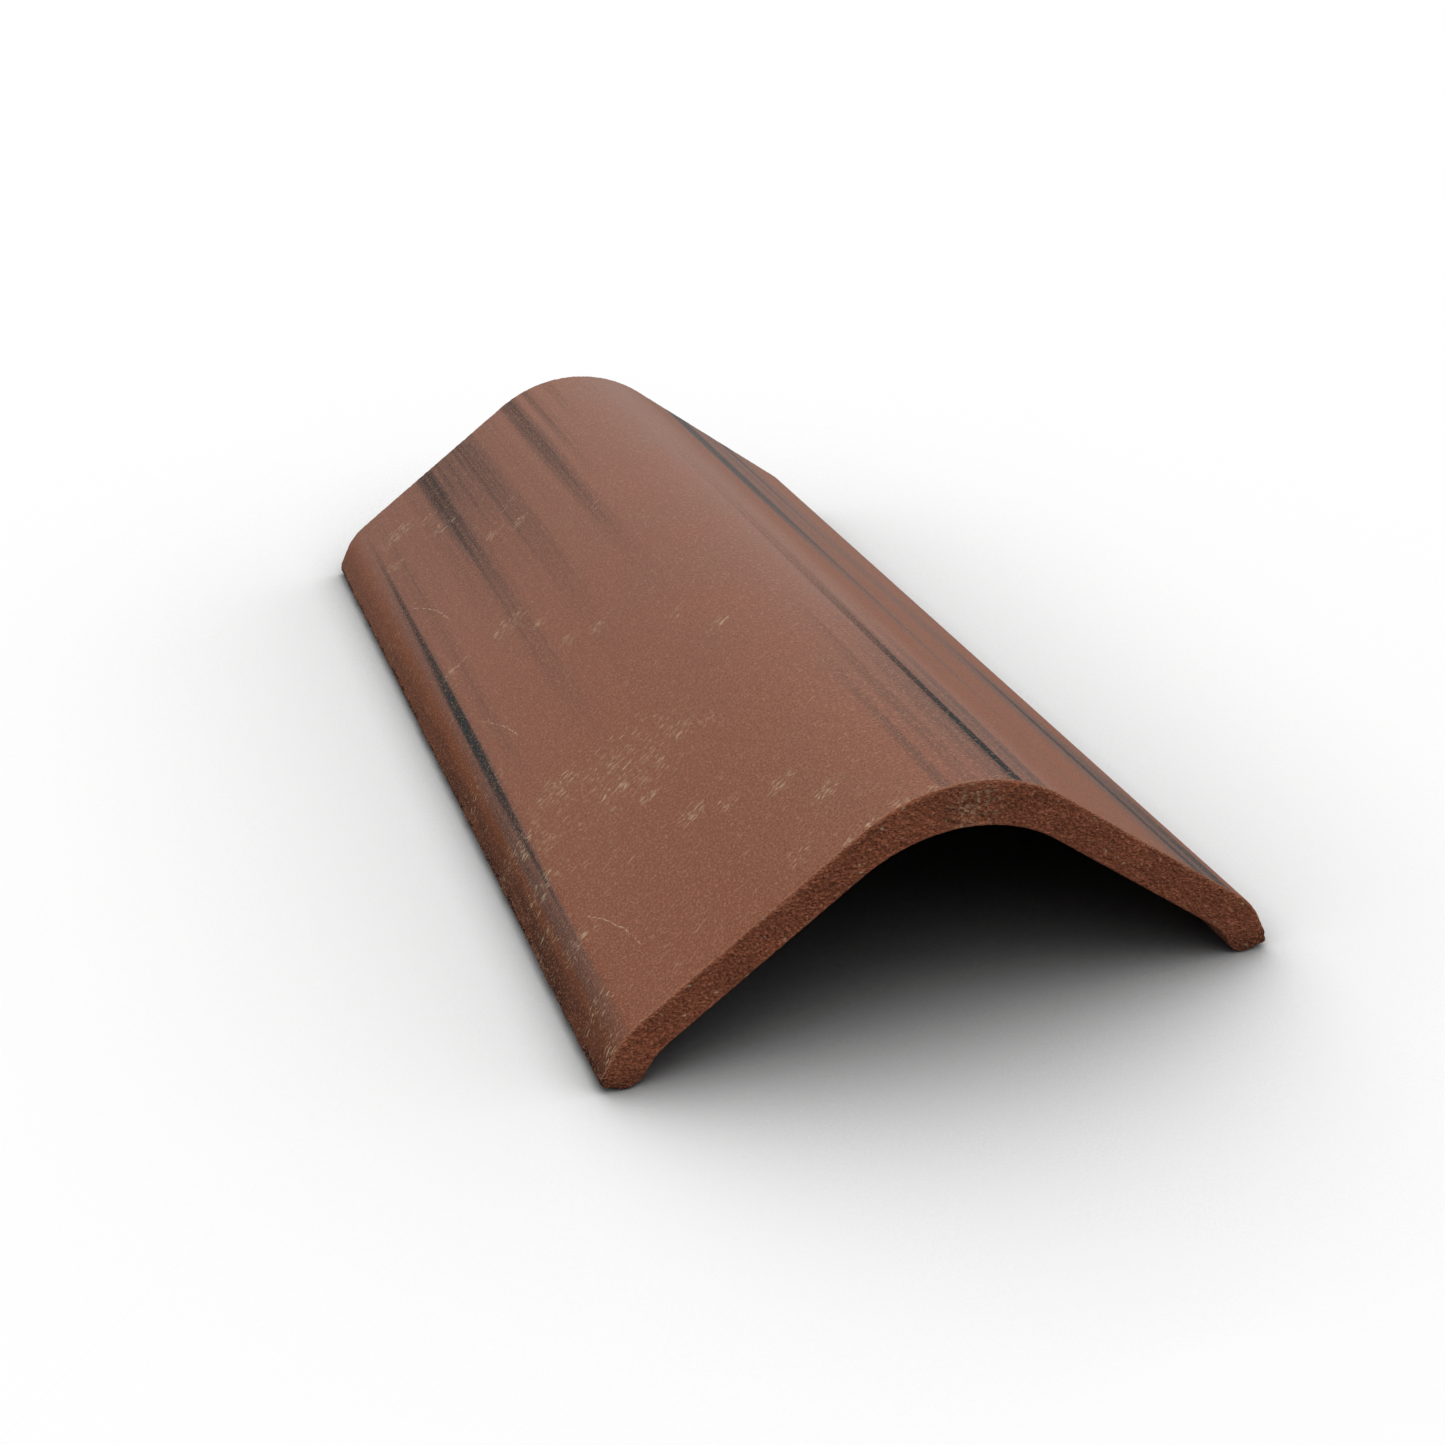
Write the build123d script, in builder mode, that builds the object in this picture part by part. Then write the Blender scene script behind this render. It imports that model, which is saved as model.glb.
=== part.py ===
from build123d import *
import os
from math import cos, radians, sin, tan

# Ridge tile: one extruded body, cut square to length.
# Two flat wings meet in a rounded crown, and each ends in a short splayed flange.
# The tile stands on the rounded heels of its two feet.
# X runs across the tile, Y along the ridge and Z up. The origin is at the bottom centre.
# Lengths are in millimetres and angles in degrees.

# Whole tile
length = 457.0
foot_span = 252.0  # across the sharp outer corners of the feet, before the toes are rounded
wall = 14.0

# Wings and crown
wing_pitch = 36.2  # from the horizontal
crown_radius = 61.5
crown_inner_radius = 60.0

# Flanges
flange_length = 19.2  # outer face, from the sharp shoulder to the sharp toe
flange_splay = 26.5  # from the vertical
shoulder_radius = 30.0
shoulder_inner_radius = 27.5

# Feet, whose faces rise from the heel to the toe
foot_slope = 16.4  # from the horizontal
toe_radius = 1.3
heel_radius = 7.3

# Arrises of the two cut ends
arris_radius = 0.6

# The part of each straight run that one rounded corner may take up
crown_run_share = 0.6
shoulder_run_share = 0.39
toe_run_share = 0.4
heel_run_share = 0.48
inner_shoulder_run_share = 0.51
arris_toe_share = 0.5

quarter_turn = 90.0


def run_taken(turn):
    """Run that a rounded corner takes up on each side, per unit of its radius."""
    return tan(radians(turn) / 2)


def fitted(radius, turn, room):
    """The radius, or less where its corner has too little room."""
    return min(radius, room / run_taken(turn))


# Angles through which the outline turns at its corners
crown_turn = 2 * wing_pitch
shoulder_turn = quarter_turn - wing_pitch - flange_splay
foot_lean = flange_splay - foot_slope
toe_turn = quarter_turn + foot_lean
heel_turn = quarter_turn - foot_lean

# Straight runs between the sharp corners
foot_run = wall / cos(radians(foot_lean))
inner_flange_run = flange_length - wall * (run_taken(shoulder_turn) + tan(radians(foot_lean)))
shoulder_half_span = foot_span / 2 - flange_length * sin(radians(flange_splay))
wing_run = shoulder_half_span / cos(radians(wing_pitch))

# Roundings, each within the runs beside it
crown_fillet = fitted(crown_radius, crown_turn, crown_run_share * wing_run)
crown_inner_fillet = fitted(crown_inner_radius, crown_turn, crown_run_share * wing_run)
shoulder_fillet = fitted(shoulder_radius, shoulder_turn, shoulder_run_share * flange_length)
inner_shoulder_fillet = fitted(
    shoulder_inner_radius, shoulder_turn, inner_shoulder_run_share * inner_flange_run
)
toe_fillet = fitted(toe_radius, toe_turn, toe_run_share * foot_run)
heel_room = heel_run_share * min(inner_flange_run, foot_run)
heel_fillet = fitted(heel_radius, heel_turn, heel_room)
arris_fillet = min(arris_radius, arris_toe_share * toe_fillet)

# Height of the sharp toe above the floor, which the rounded heel touches
heel_tangent = heel_fillet * run_taken(heel_turn)
toe_height = (foot_run - heel_tangent) * sin(radians(foot_slope)) + heel_fillet * (
    1 - cos(radians(foot_slope))
)

# Sharp corners of the right half of the section, as (across, up)
flange_up = Vector(-sin(radians(flange_splay)), cos(radians(flange_splay)))
foot_in = Vector(-cos(radians(foot_slope)), -sin(radians(foot_slope)))
toe = Vector(foot_span / 2, toe_height)
shoulder = toe + flange_up * flange_length
crown = Vector(0, shoulder.Y + shoulder.X * tan(radians(wing_pitch)))
heel = toe + foot_in * foot_run
inner_shoulder = heel + flange_up * inner_flange_run
inner_crown = crown - Vector(0, wall / cos(radians(wing_pitch)))


def on_left(corner):
    """The same corner on the left half of the section."""
    return Vector(-corner.X, corner.Y)


# The closed outline: over the top from the left toe, then back under the wings
outline = [
    (on_left(toe), toe_fillet),
    (on_left(shoulder), shoulder_fillet),
    (crown, crown_fillet),
    (shoulder, shoulder_fillet),
    (toe, toe_fillet),
    (heel, heel_fillet),
    (inner_shoulder, inner_shoulder_fillet),
    (inner_crown, crown_inner_fillet),
    (on_left(inner_shoulder), inner_shoulder_fillet),
    (on_left(heel), heel_fillet),
]

with BuildPart() as ridge_tile:
    with BuildSketch(Plane.XZ):
        with BuildLine():
            corners = [corner for corner, _ in outline]
            radii = [radius for _, radius in outline]
            FilletPolyline(*corners, radius=radii, close=True)
        make_face()
    extrude(amount=length / 2, both=True)
    cut_ends = ridge_tile.faces().filter_by(Axis.Y)
    fillet(cut_ends.edges(), arris_fillet)

ridge_tile.part.label = "ridge_tile"

os.makedirs("parts", exist_ok=True)
export_step(ridge_tile.part, "parts/ridge_tile.step")
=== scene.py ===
import math
from collections import namedtuple

import bmesh
import bpy
import numpy as np
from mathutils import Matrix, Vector, noise


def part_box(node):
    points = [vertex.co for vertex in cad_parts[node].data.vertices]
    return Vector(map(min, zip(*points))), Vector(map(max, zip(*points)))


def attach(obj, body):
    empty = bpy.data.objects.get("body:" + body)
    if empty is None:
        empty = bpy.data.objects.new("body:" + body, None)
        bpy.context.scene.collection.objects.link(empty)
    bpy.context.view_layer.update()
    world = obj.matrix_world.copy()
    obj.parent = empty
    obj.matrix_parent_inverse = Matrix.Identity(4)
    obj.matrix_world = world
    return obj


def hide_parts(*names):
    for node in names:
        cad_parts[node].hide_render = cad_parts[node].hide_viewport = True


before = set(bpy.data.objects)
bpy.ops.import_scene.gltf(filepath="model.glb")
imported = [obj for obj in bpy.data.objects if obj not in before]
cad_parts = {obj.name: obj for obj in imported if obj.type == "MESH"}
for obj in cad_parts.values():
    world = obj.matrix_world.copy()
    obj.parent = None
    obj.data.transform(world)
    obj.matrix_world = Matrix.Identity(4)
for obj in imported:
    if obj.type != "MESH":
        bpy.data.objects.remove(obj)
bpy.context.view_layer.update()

# A ridge tile of through-coloured concrete: a smooth, streaked upper face and torn, cut ends.
# Lengths are in metres. X runs across the tile, Y along the ridge and Z up.
MM = 0.001

# Section, with the sizes that the solid has
FOOT_SPAN = 252.0 * MM
WALL = 14.0 * MM
WING_PITCH = math.radians(36.2)
CROWN_RADIUS = 61.5 * MM
CROWN_INNER_RADIUS = 60.0 * MM
FLANGE_LENGTH = 19.2 * MM
FLANGE_SPLAY = math.radians(26.5)
SHOULDER_RADIUS = 30.0 * MM
SHOULDER_INNER_RADIUS = 27.5 * MM
FOOT_SLOPE = math.radians(16.4)
TOE_RADIUS = 1.3 * MM
HEEL_RADIUS = 7.3 * MM
ARRIS_RADIUS = 0.6 * MM
NEAR_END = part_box("ridge_tile")[0].y
FAR_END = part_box("ridge_tile")[1].y
LENGTH = FAR_END - NEAR_END

# Corners of the section, by their numbers in section_corners
RIGHT_TOE, RIGHT_HEEL, INNER_CROWN, LEFT_HEEL = 4, 5, 7, 9

# Spacing of the mesh
TOE_ROW_STEP = 0.5 * MM
TOE_ROWS_PER_ROW = 10
TOE_STEP = 0.4 * MM
TOE_ZONE = 3.6 * MM
UNDER_ZONE = 1.6 * MM
FOOT_ZONE = 12.0 * MM
HEEL_ZONE = 8.0 * MM
FOOT_STEP = 1.2 * MM
WING_STEP = 5.0 * MM
SOFFIT_STEP = 7.0 * MM
SEAM_DEPTH = 2.5 * MM
ZONE_INSIDE = 0.99
ARC_STEPS = 48

# Relief of the cut ends
WRINKLE_HEIGHT = 2.2 * MM
WRINKLE_SIZE = (1.35 * MM, 1.35 * MM, 0.62 * MM)
WRINKLE_WARP = 0.6 * MM
WRINKLE_WARP_COARSE = 2
FOLDED_NOISE_MEAN = 0.25
GRAIN_HEIGHT = 0.22 * MM
GRAIN_SIZE = 0.7 * MM
SWELL_HEIGHT = 0.3 * MM
SWELL_SIZE = 12.0 * MM
RIM_RELIEF = 0.3
RIM_ROWS = 4
ARRIS_CHIP = 0.32 * MM
ARRIS_CHIP_SIZES = (1.8 * MM, 0.9 * MM)
ARRIS_CHIP_BIAS = 0.1
SOFFIT_WEAR = 0.35
SEED_SHIFT = (17.3, 5.9, 11.1)

# Loops of points from a cut end, round its arris and on to the long faces: inset and depth in
# radii of the arris, share of the end's relief and share of the skin
ArrisLoop = namedtuple("ArrisLoop", "inset depth torn skin")
ARRIS_LOOPS = (
    ArrisLoop(1.0, 0.0, 1.0, 0.0),
    ArrisLoop(0.3, 0.3, 0.8, 0.25),
    ArrisLoop(0.0, 1.0, 0.5, 0.7),
    ArrisLoop(0.0, 1.9, 0.2, 1.0),
)

# Broken edges of the toes: how far up the flange they reach, which waves of noise make that
# uneven, and how deep they are chipped
TORN_WIDTH = 2.1 * MM
TORN_BASE = 0.9
TORN_LEAST = 0.3 * MM
TORN_MARGIN = 0.4 * MM
TORN_FADE = 0.9 * MM
TornWave = namedtuple("TornWave", "size weight stretch seed")
TORN_WAVES = (
    TornWave(14.0 * MM, 0.8, (0.0, 1.0, 0.0), 31),
    TornWave(4.5 * MM, 0.9, (0.2, 1.0, 0.2), 32),
    TornWave(1.2 * MM, 0.6, (1.0, 1.0, 1.0), 33),
)
TOE_CHIP = 1.1 * MM
TOE_CHIP_LIP = 0.4 * MM
TOE_CHIP_BASE = 0.75
TOE_CHIP_VARIES = 0.7
TOE_CHIP_SIZE = 0.9 * MM
TOE_CHIP_SEED = 34

# Gouges torn out of the ends: middle, half lengths, tilt in degrees and depth, in millimetres
Gouge = namedtuple("Gouge", "x z half_x half_z tilt depth")
NEAR_GOUGES = (
    Gouge(-105.5, 19.6, 4.2, 0.9, -12, 1.3),
    Gouge(-111.6, 16.2, 1.6, 0.9, 0, 1.4),
    Gouge(-104.4, 14.4, 3.2, 0.8, 22, 1.3),
    Gouge(-71.4, 35.6, 3.5, 0.8, 20, 1.0),
    Gouge(1.2, 81.4, 3.2, 2.2, 15, 1.8),
    Gouge(7.2, 76.4, 2.6, 1.3, -30, 1.8),
    Gouge(-5.0, 77.2, 4.2, 0.9, -32, 1.3),
    Gouge(9.5, 81.0, 2.0, 1.4, 40, 1.1),
    Gouge(56.6, 50.0, 3.6, 0.8, -25, 1.4),
    Gouge(69.5, 43.2, 3.0, 0.9, -38, 1.1),
    Gouge(109.0, 15.2, 3.4, 0.9, -25, 1.1),
)
FAR_GOUGES = (
    Gouge(-88.0, 26.0, 3.6, 1.0, 30, 1.3),
    Gouge(-34.0, 66.0, 2.6, 1.4, 15, 1.4),
    Gouge(14.0, 79.0, 3.0, 1.0, -10, 1.1),
    Gouge(63.0, 47.5, 4.0, 0.9, -35, 1.4),
    Gouge(112.0, 14.0, 2.2, 1.1, 0, 1.3),
)

# The cut ends: place along the tile, way into the tile, spacing of the mesh, coarseness of the
# wrinkles, seed of the noise and gouges
End = namedtuple("End", "y inward steps coarse seed gouges")
ENDS = (
    End(NEAR_END, 1.0, (0.36 * MM, 0.28 * MM), 1.0, 51, NEAR_GOUGES),
    End(FAR_END, -1.0, (0.75 * MM, 0.55 * MM), 1.6, 71, FAR_GOUGES),
)

# Camera, at the photograph's place
CAMERA_PLACE = (-266.5 * MM, -731.4 * MM, 402.4 * MM)
CAMERA_YAW = math.radians(20.02)
CAMERA_PITCH = math.radians(-27.19)
CAMERA_LENS = 50.0
CAMERA_SENSOR = 36.0
CAMERA_REACH = 48.0

# Floor: its size, how much light it throws back on to the tile, and the shadow painted into its
# colour near the tile
FLOOR_HALF = 12.0
FLOOR_BOUNCE = 0.05
CONTACT_SHADOW_REACH = 0.18
CONTACT_SHADOW_POWER = 2.1
CONTACT_SHADOW_GAIN = 1.12
CONTACT_SHADOW_SAMPLES = 3

# The looks are written as patterns and ramps. A pattern is a noise with its features a metre,
# detail and roughness. A ramp goes smoothly from one level to another as a value rises from low
# to high
Pattern = namedtuple("Pattern", "scale detail rough", defaults=(2.0, 0.5))
Ramp = namedtuple("Ramp", "low high to_low to_high", defaults=(0.0, 1.0))

# Smooth upper face. Places across are measured from the crown, with the left below zero
WARM_SKIN = (0.233, 0.074, 0.036)
OLIVE_SKIN = (0.220, 0.077, 0.0395)
# The left wing's redder tone, darkened a little as painted shade that offsets part of its sheen
LEFT_SKIN_AND_SHADE = (0.205, 0.0545, 0.018)
LEFT_WING = Ramp(-85 * MM, -15 * MM, 1.0, 0.0)
NOT_RIGHT_WING = Ramp(15 * MM, 50 * MM, 1.0, 0.0)
PATCHES = Pattern(18.0, 3.0)
PATCH_SHARE = Ramp(0.35, 0.65)
GRAIN = Pattern(1400.0, 3.0, 0.7)
GRAIN_SHADE = Ramp(0.25, 0.75, 0.66, 1.34)
# Painted glints: pale flecks in the grain stand in for the sparkle of its sheen
GRAIN_GLINTS = Ramp(0.38, 0.75, 0.0, 0.08)
DARK_SPECKS = Pattern(480.0, 2.0, 0.6)
DARK_SPECK_SHADE = Ramp(0.55, 0.75, 1.0, 0.80)
SKIN_BUMP = Pattern(1300.0, 3.0, 0.6)
SKIN_BUMP_HEIGHT = 0.22 * MM

# Roughness of the skin, the rougher right wing, dull places and the torn body
SPECULAR_LEVEL = 0.23
SKIN_ROUGHNESS = Ramp(0.3, 0.7, 0.37, 0.47)
RIGHT_WING_ROUGHNESS = Ramp(0.0, LENGTH, 0.76, 0.64)
DULL_ROUGHNESS = 1.0
BODY_ROUGHNESS = 0.95
DULL_FLANGE = Ramp(129 * MM, 148 * MM)

# Torn body on the cut ends and broken toes, darker in its ripples' hollows and lighter on their
# crests as painted shade and highlight. Its ripples, too fine for the mesh, are stretched
BODY_SHADED_HOLLOWS = (0.212, 0.064, 0.030)
BODY_LIT_CRESTS = (0.405, 0.142, 0.076)
RIPPLES = Pattern(1200.0, 2.0, 0.6)
RIPPLE_STRETCH = (0.6, 1.0, 1.5)
RIPPLE_HEIGHT = 1.4 * MM
RIPPLE_LIGHTING = Ramp(0.34, 0.66)
MOTTLE = Pattern(90.0)
MOTTLE_SHADE = Ramp(0.35, 0.65, 0.88, 1.1)
# Painted shadow on the feet, which darken towards the floor
FOOT_CONTACT_SHADOW = Ramp(2 * MM, 10 * MM, 0.6, 1.0)

# Pale specks in the body, one in a cell at most, and more of them near the top of the near end
SPECK_PALE = (0.580, 0.450, 0.300)
SPECK_CELLS = 550.0
SPECK_MIDDLE = (4 * MM, NEAR_END, 82 * MM)
SPECK_CHANCE = Ramp(0.0, 18 * MM, 0.16, 0.03)
SPECK_DRAWN = Ramp(0.98, 1.02)
SPECK_SIDES = Ramp(0.2, 0.5, 0.75, 0.0)

# Pale crust where the near end is broken at its top
CRUST = Pattern(560.0, 3.0, 0.6)
CRUST_SHARE = Ramp(0.48, 0.62, 0.0, 0.42)
CRUST_MIDDLE = (4 * MM, NEAR_END, 80 * MM)
CRUST_REACH = Ramp(14 / 3 * MM, 14 * MM, 1.0, 0.0)

# Grime and painted shade in the hollows of the broken toes, between two places out from the crown
TOE_DIRT_AND_SHADE = (0.022, 0.010, 0.006)
TOE_DARK_START = Ramp(150 * MM, 152 * MM)
TOE_DARK_END = Ramp(157.5 * MM, 159 * MM, 1.0, 0.0)
TOE_DARK_IN_HOLLOWS = Ramp(0.45, 0.62, 0.95, 0.15)

# Ragged edge between the skin and the body, pale along its middle: partly wear, partly a painted
# highlight where the edge catches the light
WORN_EDGE_AND_HIGHLIGHT = (0.420, 0.190, 0.110)
EDGE_RAGGED = 1.6
EDGE_SKIN = Ramp(0.42, 0.58)
EDGE_PALE_START = Ramp(0.1, 0.4)
EDGE_PALE_END = Ramp(0.6, 0.98, 0.75, 0.0)

# Dark mineral streaks along the upper face, in millimetres: place across from the crown, half
# width, nearest and farthest reach from the near end, length of the fade, strength, how far the
# streak wanders across from end to end, and how soft its sides are
Streak = namedtuple("Streak", "around half near far fade strength lean soft", defaults=(0.0, 0.55))
STREAKS = (
    Streak(-147.5, 6.0, -60, 200, 120, 0.12),
    Streak(-139.6, 3.9, -60, 240, 130, 0.46, 0.0, 0.4),
    Streak(-135.2, 1.1, 30, 460, 110, 0.70, 4.5, 0.8),
    Streak(-135.6, 2.3, 90, 340, 110, 0.98, 4.5, 0.55),
    Streak(-137.0, 4.6, 50, 480, 180, 0.34, 4.5, 0.9),
    Streak(-124.6, 2.6, 130, 460, 110, 0.22, 0.0, 0.9),
    Streak(-115.0, 21.0, 270, 700, 150, 0.12, 0.0, 0.3),
    Streak(-100.5, 4.0, 220, 700, 120, 0.12),
    Streak(-96.0, 1.3, 330, 700, 70, 0.36, 0.0, 0.4),
    Streak(-93.4, 0.9, 300, 800, 80, 0.36),
    Streak(-91.3, 4.4, 120, 900, 330, 0.62),
    Streak(-89.2, 0.9, 380, 800, 50, 0.36),
    Streak(-83.5, 1.1, 380, 800, 50, 0.35),
    Streak(-78.4, 0.9, 340, 800, 60, 0.28),
    Streak(-77.0, 17.0, 250, 900, 200, 0.40, 0.0, 0.30),
    Streak(-72.4, 0.8, 390, 800, 50, 0.25),
    Streak(-69.6, 0.9, 280, 800, 80, 0.25),
    Streak(-67.0, 3.4, 140, 800, 220, 0.22),
    Streak(-61.2, 2.2, 200, 800, 160, 0.20, 0.0, 0.8),
    Streak(-52.0, 6.5, 280, 900, 150, 0.10),
    Streak(-36.2, 4.4, 190, 900, 280, 0.62),
    Streak(-35.0, 1.2, 220, 800, 120, 0.25),
    Streak(-25.8, 1.5, 300, 700, 130, 0.26),
    Streak(-23.8, 2.6, 330, 800, 130, 0.18),
    Streak(-13.6, 2.2, 370, 700, 100, 0.20),
    Streak(-6.7, 1.9, -400, 130, 120, 0.38),
    Streak(2.4, 2.4, -80, 180, 120, 0.19),
    Streak(6.0, 11.0, -400, 190, 150, 0.08, 0.0, 0.6),
    Streak(9.2, 1.3, -80, 160, 120, 0.17),
    Streak(13.0, 2.4, -400, 170, 130, 0.30),
    Streak(16.8, 1.5, -400, 150, 130, 0.45),
    Streak(19.8, 1.7, -400, 210, 170, 0.97, 0.0, 0.35),
    Streak(20.6, 3.2, -400, 420, 330, 0.32),
    Streak(25.0, 1.2, -400, 130, 100, 0.36),
    Streak(29.4, 2.6, -400, 170, 120, 0.58),
    Streak(47.0, 5.5, 330, 900, 100, 0.14),
    Streak(63.3, 7.4, 120, 900, 250, 0.92, 0.0, 0.5),
    Streak(66.3, 2.4, -20, 900, 240, 0.52),
    Streak(74.5, 4.6, 180, 900, 200, 0.32),
    Streak(83.0, 3.4, 210, 900, 200, 0.56),
    Streak(89.0, 4.5, 220, 900, 220, 0.32),
    Streak(95.6, 2.8, 220, 900, 230, 0.88),
    Streak(97.0, 4.0, -300, 900, 200, 0.18),
    Streak(104.0, 5.0, -300, 900, 200, 0.36),
    Streak(109.2, 2.9, -200, 260, 150, 0.97, 0.0, 0.55),
    Streak(115.0, 4.6, -200, 270, 180, 0.60),
    Streak(123.2, 4.9, -200, 170, 160, 0.94, 0.0, 0.55),
)
STREAK_DARK = (0.013, 0.025, 0.028)
STREAK_THIN = (0.066, 0.073, 0.075)
STREAK_DEEPENS = Ramp(0.35, 0.90)
STREAK_FRAY = 0.8 * MM
STREAK_LINES = Pattern(1.0, 3.0, 0.6)
STREAK_LINE_STRETCH = (620.0, 5.0, 1.0)
STREAK_POWER = Ramp(0.3, 0.7, 0.70, 1.3)
STREAK_SPECKLE = Ramp(0.25, 0.75, 0.75, -0.75)

# Dirt and painted shade on the flanges, which thicken towards the toes and thin towards the far end
FLANGE_DIRT_AND_SHADE = (0.042, 0.012, 0.005)
FLANGE_DIRT_AND_SHADE_SHARE = Ramp(134 * MM, 157 * MM, 0.0, 0.95)
FLANGE_FADE = Ramp(100 * MM, LENGTH, 1.0, 0.55)
SMEARS = Pattern(1.0, 3.0, 0.6)
SMEAR_STRETCH = (170.0, 22.0, 1.0)
SMEAR_SHARE = Ramp(0.3, 0.7, 0.75, 1.2)

# Clusters of short pale scuffs, in millimetres: place across and along, reach and share scuffed
Cluster = namedtuple("Cluster", "around along reach share")
CLUSTERS = (
    Cluster(-116, 141, 15, 0.42),
    Cluster(-103, 131, 7, 0.45),
    Cluster(-128, 116, 8, 0.50),
    Cluster(-97, 115, 13, 0.42),
    Cluster(-79, 110, 6, 0.35),
    Cluster(-66, 117, 12, 0.38),
    Cluster(-55, 110, 6, 0.40),
    Cluster(-88, 97, 6, 0.55),
    Cluster(-79, 70, 8, 0.45),
    Cluster(-67, 62, 7, 0.55),
    Cluster(-48, 49, 8, 0.40),
    Cluster(-38, 29, 9, 0.42),
    Cluster(-28, 158, 7, 0.45),
    Cluster(-38, 184, 8, 0.30),
    Cluster(-119, 420, 14, 0.45),
    Cluster(-103, 411, 7, 0.40),
    Cluster(-128, 394, 8, 0.50),
    Cluster(-97, 393, 10, 0.35),
    Cluster(-79, 348, 7, 0.45),
    Cluster(-67, 341, 7, 0.50),
    Cluster(-128, 271, 8, 0.50),
    Cluster(-97, 270, 12, 0.38),
    Cluster(-86, 252, 6, 0.45),
    Cluster(-79, 225, 7, 0.45),
    Cluster(-67, 217, 7, 0.50),
    Cluster(-139, 128, 18, 0.32),
    Cluster(-140, 98, 16, 0.30),
    Cluster(-137, 58, 12, 0.30),
    Cluster(-141, 22, 12, 0.30),
    Cluster(-145, 4, 7, 0.45),
    Cluster(-150, 75, 20, 0.16),
    Cluster(-149, 180, 24, 0.14),
    Cluster(-44, 1, 5, 0.45),
    Cluster(-33, 1, 6, 0.50),
    Cluster(-22, 1, 5, 0.45),
    Cluster(-11, 1, 6, 0.50),
    Cluster(-57, 13, 9, 0.35),
    Cluster(-92, 122, 45, 0.20),
)
CLUSTER_TURN = math.radians(5.0)
CLUSTER_STRETCH = 1.5
CLUSTER_SPREAD = 1.2

# Scuffs: short wavering strokes in layers, each with its direction from straight across, the
# length and width of the cell that holds one stroke, and how much a cluster adds to its chance
Stroke = namedtuple("Stroke", "turn length width chance")
STROKES = (
    Stroke(math.radians(14.0), 7.0 * MM, 0.80 * MM, 0.60),
    Stroke(math.radians(4.0), 5.0 * MM, 0.65 * MM, 0.68),
    Stroke(math.radians(26.0), 3.4 * MM, 0.60 * MM, 0.62),
    Stroke(math.radians(-9.0), 2.6 * MM, 0.55 * MM, 0.50),
)
STROKE_WAVER = 1.6 * MM
STROKE_WAVES = 240.0
STROKE_LAYER_SHIFT = (0.37, 0.61)
STROKE_REACH = Ramp(0.0, 1.0, 0.22, 0.46)
STROKE_SIDES = Ramp(0.35, 1.0, 1.0, 0.0)
STROKE_DRAWN = Ramp(0.94, 1.09)
STROKE_LEVEL = Ramp(0.0, 1.0, 0.3, 1.0)
STRAYS = Pattern(22.0)
STRAY_SHARE = Ramp(0.5, 0.75, 0.0, 0.05)
HAZE = 0.04
SCUFF_AND_GLINT_PALE = SPECK_PALE

# Long curved scratches, in millimetres: ends as (across, along) and rise of the arc
Scratch = namedtuple("Scratch", "start end bulge")
SCRATCHES = (
    Scratch((-131.0, 69.0), (-117.0, 30.0), 3.0),
    Scratch((-130.5, 225.0), (-117.0, 188.0), 3.0),
    Scratch((-130.5, 347.0), (-117.0, 309.0), 3.0),
    Scratch((88.0, 262.0), (104.0, 231.0), -3.0),
)
SCRATCH_HALF = 0.25 * MM
SCRATCH_SIDES = Ramp(0.3 * SCRATCH_HALF, 1.5 * SCRATCH_HALF, 1.0, 0.0)
SCRATCH_FADE_SHARE = 0.7
SCRATCH_WAVER = 2.0 * MM
SCRATCH_WAVES = 300.0
SCRATCH_GAPS = Pattern(500.0, 3.0)
SCRATCH_LEVEL = Ramp(0.42, 0.62, 0.0, 0.75)


def unit(vector):
    return vector / np.linalg.norm(vector)


def section_corners():
    """Sharp corners of the section as (x, z), clockwise from the left toe, with their roundings."""
    lean = FLANGE_SPLAY - FOOT_SLOPE
    shoulder_turn = math.pi / 2 - WING_PITCH - FLANGE_SPLAY
    foot_run = WALL / math.cos(lean)
    inner_run = FLANGE_LENGTH - WALL * (math.tan(shoulder_turn / 2) + math.tan(lean))
    heel_tangent = HEEL_RADIUS * math.tan((math.pi / 2 - lean) / 2)
    toe_height = (foot_run - heel_tangent) * math.sin(FOOT_SLOPE)
    toe_height += HEEL_RADIUS * (1 - math.cos(FOOT_SLOPE))
    flange_up = np.array([-math.sin(FLANGE_SPLAY), math.cos(FLANGE_SPLAY)])
    foot_in = np.array([-math.cos(FOOT_SLOPE), -math.sin(FOOT_SLOPE)])
    toe = np.array([FOOT_SPAN / 2, toe_height])
    shoulder = toe + flange_up * FLANGE_LENGTH
    crown = np.array([0.0, shoulder[1] + shoulder[0] * math.tan(WING_PITCH)])
    heel = toe + foot_in * foot_run
    inner_shoulder = heel + flange_up * inner_run
    inner_crown = crown - np.array([0.0, WALL / math.cos(WING_PITCH)])
    left = np.array([-1.0, 1.0])
    return [
        (toe * left, TOE_RADIUS),
        (shoulder * left, SHOULDER_RADIUS),
        (crown, CROWN_RADIUS),
        (shoulder, SHOULDER_RADIUS),
        (toe, TOE_RADIUS),
        (heel, HEEL_RADIUS),
        (inner_shoulder, SHOULDER_INNER_RADIUS),
        (inner_crown, CROWN_INNER_RADIUS),
        (inner_shoulder * left, SHOULDER_INNER_RADIUS),
        (heel * left, HEEL_RADIUS),
    ]


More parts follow.
